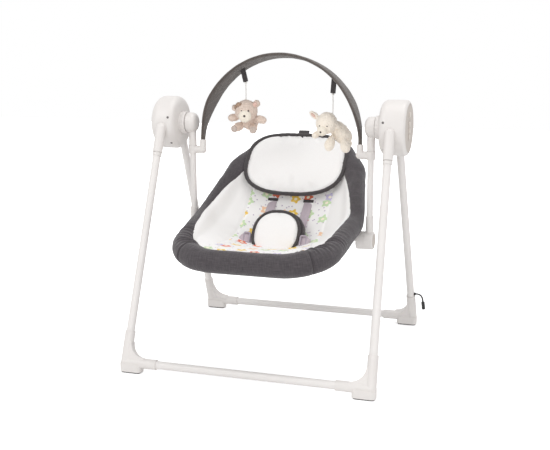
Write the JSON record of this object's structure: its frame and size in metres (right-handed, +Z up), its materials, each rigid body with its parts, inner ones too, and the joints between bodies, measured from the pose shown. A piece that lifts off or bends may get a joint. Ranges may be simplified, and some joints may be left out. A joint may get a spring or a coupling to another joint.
{
  "type": "baby swing",
  "caption": "Folding baby swing: tubular A-frame stand with drum housings, padded reclining seat hung on two arms, and a tilting toy arch with plush toys.",
  "frame": {"origin": "on the floor, midway between the feet, under the swing axis", "axes": "+Z up, front of the seat towards -Y, +X to the side of the control panel"},
  "size_m": [0.6802, 0.6094, 0.7709],
  "materials": {
    "white_tube": "gloss white powder coat",
    "white_plastic": "satin white",
    "grey_plastic": "satin light grey",
    "button_plastic": "satin pale grey",
    "rubber": "matt black",
    "steel": "zinc plated",
    "bush_plastic": "natural acetal",
    "copper": "enamelled copper winding",
    "lever_metal": "plain",
    "board": "green laminate",
    "black_plastic": "satin black",
    "black_lead": "satin black",
    "charcoal_fabric": "melange weave",
    "white_fabric": "soft brushed",
    "strap_fabric": "ribbed webbing",
    "buckle_plastic": "satin dark grey",
    "cord_white": "braided",
    "bear_plush": "short pile",
    "lamb_plush": "short pile"
  },
  "bodies": {
    "stand": {"front_legs": "white_tube", "front_bar": "white_tube", "front_feet": "white_plastic", "front_foot_pads": "rubber", "left_housing": "white_plastic", "right_housing": "white_plastic", "housing_covers": "white_plastic", "housing_screws": "steel", "control_panel": "grey_plastic", "circuit_board": "board", "speaker": "black_plastic", "fold_pins": "steel", "shaft_bushes": "bush_plastic", "drive_coil": "copper"},
    "rear_frame": {"rear_legs": "white_tube", "rear_hinge_plugs": "white_plastic", "rear_bar": "white_tube", "rear_feet": "white_plastic", "rear_foot_pads": "rubber", "lead_grommet": "rubber", "power_lead": "black_lead", "power_connector": "black_plastic"},
    "swing": {"swing_shafts": "steel", "magnet_lever": "lever_metal", "arm_heads": "white_plastic", "arm_tubes": "white_tube", "arm_sockets": "white_plastic", "toy_bar_clips": "white_plastic"},
    "seat": {"seat_frame": "steel", "seat_brackets": "white_plastic", "seat_rim": "charcoal_fabric", "seat_liner": "white_fabric", "seat_sling": "charcoal_fabric", "head_pillow": "white_fabric", "crotch_pad": "white_fabric", "shoulder_straps": "strap_fabric", "waist_straps": "strap_fabric", "harness_buckle": "buckle_plastic"},
    "toy_bar": {"toy_bar_elbows": "white_plastic", "toy_arch": "charcoal_fabric", "toy_tabs": "charcoal_fabric"},
    "bear_link": {"bear_knot": "cord_white"},
    "bear": {"bear_cord": "cord_white", "bear_head": "bear_plush", "bear_body": "bear_plush", "bear_arms": "bear_plush", "bear_legs": "bear_plush"},
    "lamb_link": {"lamb_knot": "cord_white"},
    "lamb": {"lamb_cord": "cord_white", "lamb_head": "lamb_plush", "lamb_body": "lamb_plush", "lamb_arms": "lamb_plush", "lamb_legs": "lamb_plush"},
    "speed_button": {"speed_button": "button_plastic"},
    "timer_button": {"timer_button": "button_plastic"},
    "melody_button": {"melody_button": "button_plastic"},
    "power_button": {"power_button": "button_plastic"},
    "right_recline_button": {"right_recline_button": "grey_plastic"},
    "left_recline_button": {"left_recline_button": "grey_plastic"},
    "buckle_button": {"buckle_button": "buckle_plastic"}
  },
  "joints": [
    {"name": "rear_frame_fold", "type": "hinge", "parent": "stand", "child": "rear_frame", "pos_m": [0, 0.04409, 0.604], "axis": [-1, 0, 0], "range_deg": [0, 42]},
    {"name": "swing", "type": "hinge", "parent": "stand", "child": "swing", "pos_m": [0, 0, 0.59], "axis": [1, 0, 0], "range_deg": [-18, 18]},
    {"name": "seat_recline", "type": "hinge", "parent": "swing", "child": "seat", "pos_m": [0, 0, 0.304], "axis": [1, 0, 0], "range_deg": [-8, 10]},
    {"name": "toy_bar_tilt", "type": "hinge", "parent": "swing", "child": "toy_bar", "pos_m": [0, 0, 0.52], "axis": [1, 0, 0], "range_deg": [-25, 12]},
    {"name": "bear_sway", "type": "hinge", "parent": "toy_bar", "child": "bear_link", "pos_m": [-0.098, 0.02611, 0.69284], "axis": [0, 1, 0], "range_deg": [-20, 14]},
    {"name": "bear_nod", "type": "hinge", "parent": "bear_link", "child": "bear", "pos_m": [-0.098, 0.02611, 0.69284], "axis": [1, 0, 0], "range_deg": [-25, 25]},
    {"name": "lamb_sway", "type": "hinge", "parent": "toy_bar", "child": "lamb_link", "pos_m": [0.134, 0.02298, 0.66733], "axis": [0, 1, 0], "range_deg": [-3, 20]},
    {"name": "lamb_nod", "type": "hinge", "parent": "lamb_link", "child": "lamb", "pos_m": [0.134, 0.02298, 0.66733], "axis": [1, 0, 0], "range_deg": [-25, 25]},
    {"name": "speed_press", "type": "slide", "parent": "stand", "child": "speed_button", "axis": [-1, 0, 0], "range_m": [0, 0.0012], "stiffness_N_per_m": 600, "springref_m": -0.0006},
    {"name": "timer_press", "type": "slide", "parent": "stand", "child": "timer_button", "axis": [-1, 0, 0], "range_m": [0, 0.0012], "stiffness_N_per_m": 600, "springref_m": -0.0006},
    {"name": "melody_press", "type": "slide", "parent": "stand", "child": "melody_button", "axis": [-1, 0, 0], "range_m": [0, 0.0012], "stiffness_N_per_m": 600, "springref_m": -0.0006},
    {"name": "power_press", "type": "slide", "parent": "stand", "child": "power_button", "axis": [-1, 0, 0], "range_m": [0, 0.0012], "stiffness_N_per_m": 600, "springref_m": -0.0006},
    {"name": "right_recline_press", "type": "slide", "parent": "swing", "child": "right_recline_button", "axis": [-1, 0, 0], "range_m": [0, 0.003], "stiffness_N_per_m": 500, "springref_m": -0.0015},
    {"name": "left_recline_press", "type": "slide", "parent": "swing", "child": "left_recline_button", "axis": [1, 0, 0], "range_m": [0, 0.003], "stiffness_N_per_m": 500, "springref_m": -0.0015},
    {"name": "buckle_press", "type": "slide", "parent": "seat", "child": "buckle_button", "axis": [0, -0.8191, 0.5736], "range_m": [0, 0.003], "stiffness_N_per_m": 400, "springref_m": -0.0015}
  ]
}
